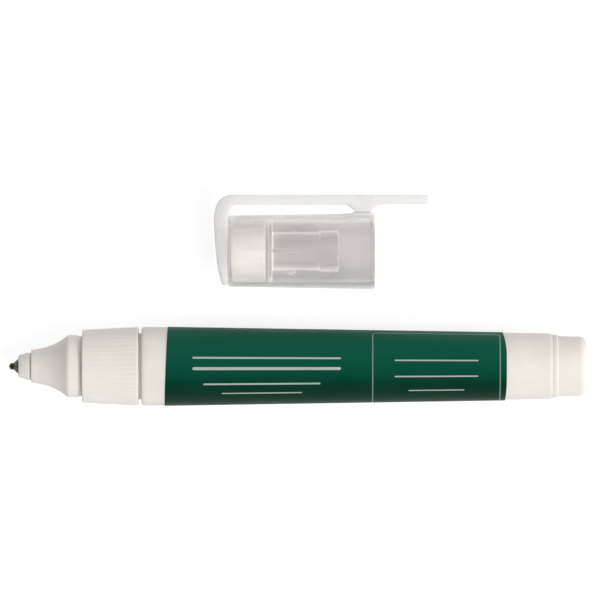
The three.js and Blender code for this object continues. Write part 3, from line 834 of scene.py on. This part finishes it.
guide = flat_ring("pin_guide", "valve_guide", guide_bore, guide_radius, 64)
seal = flat_ring("neck_washer", "neck_seal", neck_bore, seal_radius, 96)
ball_low, ball_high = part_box("mixing_ball")
ball_mesh = bmesh.new()
bmesh.ops.create_icosphere(ball_mesh, subdivisions=4, radius=(ball_high.y - ball_low.y) / 2)
bmesh.ops.translate(ball_mesh, verts=ball_mesh.verts[:], vec=(ball_low + ball_high) / 2)
ball = to_piece(ball_mesh, "steel_ball")

# %% [markdown]
# ## Metal finishes
#
# The tip is turned, so its fine marks run round it. It is dark partly because polished metal shows the
# dark ceiling around it, and partly because its colour is painted dark: a painted reflection of dark
# surroundings. The marks are a noise that is stretched round the tip, as real rings would need
# thousands of faces. The pin is pale and dull, and the ball and the spring are shinier.

# %% Metals
ring_stretch, ring_scale, ring_depth = (1, 0.05, 0.05), 9000, 0.004


def metal(name, color, roughness):
    """A metal with fine rings round the X axis."""
    material, tree, shader, coordinates = new_material(name)
    rings = noise(tree, stretched(tree, coordinates, ring_stretch), ring_scale)
    grainy = use_group(tree, grain, coordinates, Mottle_Scale=900.0)
    rough = map_range(tree, rings, 0.3, 0.7, roughness - 0.06, roughness + 0.08)
    set_surface(tree, shader, mottled(tree, grainy, color, shade=0.8), rough, rings, ring_depth)
    shader.inputs["Metallic"].default_value = 1
    return material


# The tip's dark colour is a painted reflection of dark surroundings.
tip_metal = metal("turned tip metal", (0.15, 0.16, 0.1), 0.4)
pin_steel = metal("dull pin steel", (0.7, 0.74, 0.58), 0.6)
steel = metal("drawn steel", (0.55, 0.56, 0.57), 0.25)

# %% [markdown]
# ## Clear plastic
#
# This clear plastic is a little foggy. The fog thickens where a wall is seen edge-on, by a Layer
# Weight node, and faint streaks show how the melt flowed. Light that is led inside a wall leaves it at
# its edges, which the renderer loses, so the edges get a small painted glow, an emission that stands in
# for that light. The renderer also stops a lamp's light at a clear face, so rays from lamps pass
# straight through by a Transparent shader.

# %% Clear finishes
flow_stretch, flow_scale = (0.06, 1, 1), 900
clear_grain = 0.004
plastic_ior = 1.49
painted_glow_color = (1, 0.98, 0.96)


def choose_shader(tree, share, a, b):
    """Shader a, or shader b where share is 1."""
    node = tree.nodes.new("ShaderNodeMixShader")
    for source, socket in zip((share, a, b), node.inputs):
        link(tree, source, socket)
    return node.outputs[0]


def clear_finish(name, color, roughness, face_clear, edge_clear, lamp_share, glow, painted_edge_glow):
    """A foggy plastic, with its transmission and its painted glow where it faces the eye and at its
    edges.
    """
    material, tree, shader, coordinates = new_material(name)
    grainy = use_group(tree, grain, coordinates, Scale=1200.0, Mottle_Scale=160.0)
    marked = use_group(tree, marks, coordinates, Amount=0.5)
    rough = worn_roughness(tree, grainy, roughness, roughness + 0.05, marked, change=0.3)
    set_surface(tree, shader, mottled(tree, grainy, color, shade=0.94), rough,
                grainy["Height"], clear_grain)
    facing = tree.nodes.new("ShaderNodeLayerWeight").outputs["Facing"]
    clear = map_range(tree, facing, 0.3, 0.95, face_clear, edge_clear)
    flow = noise(tree, stretched(tree, coordinates, flow_stretch), flow_scale)
    streak = map_range(tree, flow, 0.35, 0.65, 0.95, 1.0)
    link(tree, multiply(tree, clear, streak), shader.inputs["Transmission Weight"])
    shader.inputs["IOR"].default_value = plastic_ior
    # The emission is painted light: a glow that stands in for light led out at the edges.
    shader.inputs["Emission Color"].default_value = (*painted_glow_color, 1)
    link(tree, map_range(tree, facing, 0.3, 0.65, glow, painted_edge_glow), shader.inputs["Emission Strength"])
    through = tree.nodes.new("ShaderNodeBsdfTransparent")
    through.inputs[0].default_value = (lamp_share, lamp_share, lamp_share, 1)
    from_lamp = tree.nodes.new("ShaderNodeLightPath").outputs["Is Shadow Ray"]
    surface = choose_shader(tree, from_lamp, shader.outputs[0], through.outputs[0])
    link(tree, surface, tree.nodes["Material Output"].inputs["Surface"])
    return material


clear_plastic = clear_finish("clear plastic", (0.93, 0.907, 0.9), 0.07, face_clear=0.92,
                             edge_clear=0.25, lamp_share=0.95, glow=0.0, painted_edge_glow=0.15)
# The cloudy plastic's grey is darker than the milky plastic's: painted shade for the inside of the cap.
cloudy_plastic = clear_finish("cloudy plastic", (0.66, 0.63, 0.62), 0.15, face_clear=0.75,
                              edge_clear=0.1, lamp_share=0.9, glow=0.0, painted_edge_glow=0.38)
# The milky block's faint glow all over is painted light, which evens out its shading.
milky_block = clear_finish("milky block", (0.74, 0.72, 0.695), 0.35, face_clear=0.3,
                           edge_clear=0.1, lamp_share=0.8, glow=0.1, painted_edge_glow=0.2)

# %% [markdown]
# ## Label print
#
# The print is drawn by distances, not by an image: how far a point lies along the pen and how far
# round it. A rounded box has a simple distance formula, and one group of it draws both the thin pale
# frame and the plain stripes. The green is darker on the side that faces -Y. That darkening is painted
# shade, and it comes from a ramp round the barrel.

# %% Distance to a rounded box
box_group, box_in, box_out = new_group(
    "rounded box",
    {"Along": 0.0, "Around": 0.0, "Half Length": 10.0, "Half Width": 5.0, "Corner": 1.0},
    ("Distance",))


def box_math(operation, *values):
    return math_node(box_group, operation, *values)


def outside(position, half):
    """How far a position lies outside of the box's straight part."""
    straight = box_math("SUBTRACT", box_in[half], box_in["Corner"])
    return box_math("SUBTRACT", box_math("ABSOLUTE", box_in[position]), straight)


def squared_excess(distance):
    """The square of a distance, or 0 where it is negative."""
    return box_math("POWER", box_math("MAXIMUM", distance, 0.0), 2.0)


out_along, out_around = outside("Along", "Half Length"), outside("Around", "Half Width")
square = box_math("ADD", squared_excess(out_along), squared_excess(out_around))
within = box_math("MINIMUM", box_math("MAXIMUM", out_along, out_around), 0.0)
reach = box_math("ADD", box_math("SQRT", square), within)
link(box_group, box_math("SUBTRACT", reach, box_in["Corner"]), box_out["Distance"])

# %% Colours and places of the print
label_radius = (barrel_at(label_front) + barrel_at(label_rear)) / 2
# Each green is at an angle round the barrel, in degrees: 0 on top and positive towards +Y.
# The greens hold painted shade round the barrel, darkest towards -Y.
greens = [
    (-180, (0.004, 0.07, 0.042)),
    (-90, (0.0003, 0.026, 0.014)),
    (-44, (0.0003, 0.023, 0.012)),
    (-28, (0.0003, 0.034, 0.019)),
    (-14, (0.0005, 0.06, 0.034)),
    (2, (0.0012, 0.073, 0.044)),
    (17, (0.003, 0.086, 0.052)),
    (38, (0.004, 0.092, 0.055)),
    (62, (0.006, 0.096, 0.057)),
    (120, (0.006, 0.09, 0.053)),
    (180, (0.004, 0.07, 0.042)),
]
mottle_green, mottle_cover = (0.004, 0.09, 0.055), 0.12
film_grain, film_shine = 0.006, 0.08
line_color, line_cover, line_core, line_edge = (0.62, 0.68, 0.62), 0.35, 0.09, 0.17
stripe_color, stripe_cover, stripe_blur = (0.6, 0.64, 0.6), 0.75, 0.05
title_middle, text_middle, panel_middle = 59.3, 58.2, 98.2
# The panel and each stripe have a middle station, an angle, half a length and half a width.
panel, panel_corner = (panel_middle, -28.5, 14.6, 13.9), 1.0
stripes = [
    (title_middle, 13.0, 17.0, 0.2),
    (title_middle, -3.0, 17.0, 0.32),
    (text_middle, -27.0, 13.4, 0.2),
    (text_middle, -44.0, 9.2, 0.16),
    (panel_middle, 10.0, 9.6, 0.16),
    (panel_middle, -16.0, 9.6, 0.16),
    (panel_middle, -42.0, 6.4, 0.16),
]
print("label print:", len(greens), "greens and", len(stripes), "stripes")


# %% Label finish
def green_with_painted_shade(tree, angle):
    """The green for an angle round the barrel, darkened towards -Y by painted shade."""
    ramp = tree.nodes.new("ShaderNodeValToRGB")
    ramp.color_ramp.interpolation = "B_SPLINE"
    elements = ramp.color_ramp.elements
    while len(elements) < len(greens):
        elements.new(0.5)
    for element, (degrees, color) in zip(elements, greens):
        element.position = (degrees + 180) / 360
        element.color = (*color, 1)
    link(tree, map_range(tree, angle, -math.pi, math.pi), ramp.inputs[0])
    return ramp.outputs[0]


def printed_label():
    material, tree, shader, coordinates = new_material("printed label")
    xyz = tree.nodes.new("ShaderNodeSeparateXYZ")
    link(tree, coordinates, xyz.inputs[0])
    x, y, z = [math_node(tree, "SUBTRACT", xyz.outputs[i], pen[i]) for i in range(3)]
    along = math_node(tree, "DIVIDE", x, mm)
    angle = math_node(tree, "ARCTAN2", y, z)
    around = multiply(tree, angle, label_radius)

    def box_distance(middle, degrees, half_length, half_width, corner):
        """How far a point is from the edge of a rounded box on the film."""
        middle_around = math.radians(degrees) * label_radius
        return use_group(tree, box_group, coordinates,
                         Along=math_node(tree, "SUBTRACT", along, middle),
                         Around=math_node(tree, "SUBTRACT", around, middle_around),
                         Half_Length=half_length, Half_Width=half_width, Corner=corner)["Distance"]

    from_frame = math_node(tree, "ABSOLUTE", box_distance(*panel, panel_corner))
    line = map_range(tree, from_frame, line_core, line_edge, 1.0, 0.0)
    # The ink starts from the green with its painted shade, and the print is laid over that.
    ink_and_painted_shade = mix(tree, multiply(tree, line, line_cover),
                     green_with_painted_shade(tree, angle), line_color)
    for middle, degrees, half_length, half_width in stripes:
        distance = box_distance(middle, degrees, half_length, half_width, half_width)
        stripe = map_range(tree, distance, -stripe_blur, stripe_blur, 1.0, 0.0)
        ink_and_painted_shade = mix(tree, multiply(tree, stripe, stripe_cover), ink_and_painted_shade, stripe_color)
    grainy = use_group(tree, grain, coordinates, Scale=3500.0)
    marked = use_group(tree, marks, coordinates, Amount=0.6)
    uneven = map_range(tree, grainy["Mottle"], 0.3, 0.7, 0.0, mottle_cover)
    rough = worn_roughness(tree, grainy, 0.36, 0.46, marked, change=0.25)
    set_surface(tree, shader, mix(tree, uneven, ink_and_painted_shade, mottle_green), rough,
                grainy["Height"], film_grain)
    shader.inputs["Specular IOR Level"].default_value = film_shine
    return material


label_print = printed_label()

# %% [markdown]
# ## Dressing
#
# Each piece gets its finish and rides on the body that it moves with. The threads, the fins and the
# land stand for no CAD node, because the pieces that they grow on do.

# %% Dress every piece
def dress(piece, body, slot, material, *nodes):
    """Gives a piece its finish and its body, and hides the CAD nodes that it stands for."""
    piece.data.materials.append(material)
    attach(piece, body)
    if nodes:
        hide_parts(*nodes)


dress(barrel, "barrel", "white_plastic", white_plastic, "barrel")
dress(neck_thread, "barrel", "white_plastic", white_plastic)
dress(label, "barrel", "printed_label", label_print, "label")
dress(plug, "barrel", "white_plastic", white_plastic, "tail_plug")
dress(collar, "collar", "white_plastic", collar_plastic, "ribbed_collar")
dress(collar_thread, "collar", "white_plastic", collar_plastic)
dress(nozzle, "nozzle", "nozzle_plastic", nozzle_plastic, "nozzle")
dress(holder, "nozzle", "nozzle_plastic", nozzle_plastic, "tip_holder")
dress(metal_tip, "nozzle", "tip_metal", tip_metal, "metal_tip")
dress(needle, "needle", "steel", pin_steel, "valve_needle")
dress(guide, "nozzle", "seal_plastic", seal_plastic, "valve_guide")
dress(seal, "nozzle", "seal_plastic", seal_plastic, "neck_seal")
dress(spring, "nozzle", "steel", steel, "valve_spring")
dress(ball, "ball", "steel", steel, "mixing_ball")
dress(shell, "cap", "clear_plastic", clear_plastic, "cap_shell")
dress(land, "cap", "milky_plastic", milky_plastic)
dress(end_plug, "cap", "milky_plastic", milky_block, "cap_end_plug")
dress(sleeve, "cap", "milky_plastic", cloudy_plastic, "cap_inner_sleeve")
dress(fins, "cap", "milky_plastic", cloudy_plastic)
dress(clip, "clip", "milky_plastic", milky_plastic, "cap_clip")
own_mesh(spring)

# %% [markdown]
# ## Floor
#
# The photograph looks straight down on a white table. More light would burn out the white plastic, so
# for rays from the camera the floor glows until it is white, and its shadows stay. Polished pieces see
# a pale floor too. What shows through the cap is darker, partly as fog and walls take their share, and
# partly as the floor seen through clear pieces has less paint and no glow: painted shade for the
# shadow under the cap.

# %% Floor
floor_mesh = bmesh.new()
bmesh.ops.create_grid(floor_mesh, x_segments=1, y_segments=1, size=4)
bmesh.ops.translate(floor_mesh, verts=floor_mesh.verts[:], vec=(0, 0, -0.05 * mm))
floor = to_piece(floor_mesh, "table")


def floor_shader(tree, albedo, strength):
    """A pale diffuse floor that glows by strength."""
    paint = tree.nodes.new("ShaderNodeBsdfDiffuse")
    paint.inputs[0].default_value = (albedo, albedo, albedo, 1)
    glow = tree.nodes.new("ShaderNodeEmission")
    glow.inputs["Strength"].default_value = strength
    both = tree.nodes.new("ShaderNodeAddShader")
    link(tree, paint.outputs[0], both.inputs[0])
    link(tree, glow.outputs[0], both.inputs[1])
    return both.outputs[0]


def floor_finish():
    """A white table whose shade depends on the kind of ray that meets it."""
    material = bpy.data.materials.new("white table")
    material.use_nodes = True
    tree = material.node_tree
    tree.nodes.remove(tree.nodes["Principled BSDF"])
    path = tree.nodes.new("ShaderNodeLightPath").outputs
    first = math_node(tree, "LESS_THAN", path["Diffuse Depth"], 0.5)
    mirrored = multiply(tree, path["Is Glossy Ray"], first)
    behind = multiply(tree, path["Is Transmission Ray"], first)
    surface = floor_shader(tree, 0.8, 0.0)
    surface = choose_shader(tree, mirrored, surface, floor_shader(tree, 0.85, 0.15))
    # Seen through clear pieces, the floor is painted darker: painted shade for the shadow under the
    # cap.
    surface = choose_shader(tree, behind, surface, floor_shader(tree, 0.4, 0.0))
    surface = choose_shader(tree, path["Is Camera Ray"], surface, floor_shader(tree, 0.35, 0.8))
    link(tree, surface, tree.nodes["Material Output"].inputs["Surface"])
    return material


floor.data.materials.append(floor_finish())

# %% [markdown]
# ## World
#
# A room lights an object unevenly, so the world is brighter towards the pen's tail and the cap's side.
# Shiny pieces see a pale horizon under a dark ceiling, and the camera sees plain white. An image of a
# room would do this too, but a few nodes need no file.

# %% World
ambient_level, towards_tail, towards_cap = 0.54, 0.5, 0.1
horizon_light, ceiling_light = 0.8, 0.1
horizon_height, ceiling_height = 0.1, 0.5
backdrop_light = 1.0


def studio():
    world = bpy.data.worlds.new("studio")
    world.use_nodes = True
    tree = world.node_tree
    background = tree.nodes["Background"]
    background.inputs["Color"].default_value = (1, 1, 1, 1)
    xyz = tree.nodes.new("ShaderNodeSeparateXYZ")
    link(tree, tree.nodes.new("ShaderNodeTexCoord").outputs["Generated"], xyz.inputs[0])
    side_light = math_node(tree, "ADD", multiply(tree, xyz.outputs[0], towards_tail),
                           multiply(tree, xyz.outputs[1], towards_cap))
    ambient = math_node(tree, "ADD", side_light, ambient_level)
    horizon = map_range(tree, xyz.outputs[2], horizon_height, ceiling_height,
                        horizon_light, ceiling_light)
    path = tree.nodes.new("ShaderNodeLightPath").outputs
    first = math_node(tree, "LESS_THAN", path["Diffuse Depth"], 0.5)
    seen = math_node(tree, "MAXIMUM", path["Is Camera Ray"], path["Is Transmission Ray"])
    lit = mix(tree, path["Is Glossy Ray"], ambient, horizon, "FLOAT")
    link(tree, mix(tree, multiply(tree, seen, first), lit, backdrop_light, "FLOAT"),
         background.inputs["Strength"])
    print("world", world.name)
    return world


bpy.context.scene.world = studio()

# %% [markdown]
# ## Lamp and camera
#
# One broad round lamp stands high beyond the pen's tail, as a smaller one would draw hard shadows.
# Shiny pieces don't show its disc. The camera looks straight down from far away, so that the pen shows
# almost without perspective.

# %% Key lamp
key_place = Vector((0.55, -0.41, 1.04))
key_light = bpy.data.lights.new("key", "AREA")
key_light.shape = "DISK"
key_light.size = 0.7
key_light.energy = 8.9
key_lamp = bpy.data.objects.new("key", key_light)
key_lamp.location = key_place
key_lamp.rotation_euler = (-key_place).to_track_quat("-Z", "Y").to_euler()
key_lamp.visible_glossy = False
bpy.context.scene.collection.objects.link(key_lamp)
print(f"key lamp: {key_light.size:.1f} m across, {key_light.energy:.1f} W")

# %% Camera
photo_scale = 0.23 * mm
photo_width = 600
camera_height = 1.8
view_centre = (0.53 * mm, 0.1 * mm)
camera = bpy.data.cameras.new("camera")
camera.sensor_width = 36
camera.lens = camera.sensor_width * (camera_height - pen.z) / (photo_width * photo_scale)
camera_object = bpy.data.objects.new("camera", camera)
camera_object.location = (*view_centre, camera_height)
bpy.context.scene.collection.objects.link(camera_object)
bpy.context.scene.camera = camera_object
bpy.context.scene.view_settings.view_transform = "Standard"
print("lens", round(camera.lens, 1))
